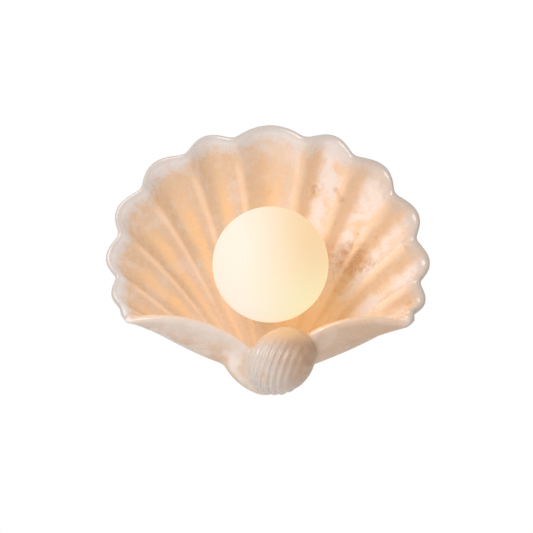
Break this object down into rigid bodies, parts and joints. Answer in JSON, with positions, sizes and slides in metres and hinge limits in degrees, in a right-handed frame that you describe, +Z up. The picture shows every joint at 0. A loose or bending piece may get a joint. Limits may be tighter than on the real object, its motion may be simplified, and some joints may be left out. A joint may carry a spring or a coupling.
{
  "type": "wall sconce",
  "caption": "Wall sconce with a fluted scallop shell of alabaster on a round steel pan, an opal glass globe that unscrews and a plug-in lamp.",
  "frame": {"origin": "on the wall plane, at the middle of the two wall-screw slots, on the axis of the globe", "axes": "+Y into the wall, -Y towards the room, +Z up, +X to the right as seen from the room"},
  "size_m": [0.2807, 0.1475, 0.2363],
  "materials": {
    "alabaster": "polished translucent stone",
    "zinc_steel": "zinc plated",
    "white_paint": "satin powder coat",
    "foam": "closed-cell foam",
    "brass": "satin",
    "rubber_pad": "matte",
    "opal_glass": "satin opal, lit from inside",
    "clear_silicone": "silicone",
    "porcelain": "glazed white",
    "lamp_plastic": "matte",
    "frosted_cover": "frosted",
    "block_plastic": "matte",
    "brown_sleeve": "satin sleeve",
    "blue_sleeve": "satin sleeve",
    "green_sleeve": "satin sleeve"
  },
  "bodies": {
    "fixture": {"alabaster_shell": "alabaster", "wall_strap": "zinc_steel", "round_pan": "white_paint", "wall_foam": "foam", "threaded_tube": "zinc_steel", "tube_locknuts": "brass", "tube_lockwasher": "zinc_steel", "back_stone_pad": "rubber_pad", "front_stone_pad": "rubber_pad", "globe_collar": "white_paint", "holder_spacer": "zinc_steel", "lampholder": "porcelain", "lampholder_screws": "zinc_steel", "lamp_contacts": "brass", "terminal_block": "block_plastic", "clamp_tubes": "brass", "clamp_screws": "zinc_steel", "block_screws": "zinc_steel", "earth_ring": "brass", "earth_screw": "brass", "live_wire": "brown_sleeve", "neutral_wire": "blue_sleeve", "earth_wire": "green_sleeve"},
    "seal": {"globe_seal": "clear_silicone"},
    "globe": {"globe": "opal_glass"},
    "lamp": {"lamp_pins": "zinc_steel", "lamp_base": "lamp_plastic", "lamp_cover": "frosted_cover", "lamp_board": "lamp_plastic"},
    "left_screw": {"side_screw_left": "brass"},
    "right_screw": {"side_screw_right": "brass"}
  },
  "joints": [
    {"name": "globe_lift", "type": "slide", "parent": "fixture", "child": "seal", "axis": [0, -1, 0], "range_m": [0, 0.01]},
    {"name": "globe_turn", "type": "hinge", "parent": "seal", "child": "globe", "pos_m": [0, -0.0405, 0], "axis": [0, -1, 0], "range_deg": [0, 900]},
    {"name": "lamp_pull", "type": "slide", "parent": "fixture", "child": "lamp", "axis": [0, -1, 0], "range_m": [0, 0.014]},
    {"name": "left_unscrew", "type": "slide", "parent": "fixture", "child": "left_screw", "axis": [-1, 0, 0], "range_m": [0, 0.007]},
    {"name": "right_unscrew", "type": "slide", "parent": "fixture", "child": "right_screw", "axis": [1, 0, 0], "range_m": [0, 0.007]}
  ],
  "couplings": [
    {"joint": "globe_lift", "follows": "globe_turn", "m_per_rad": 0.000636}
  ]
}
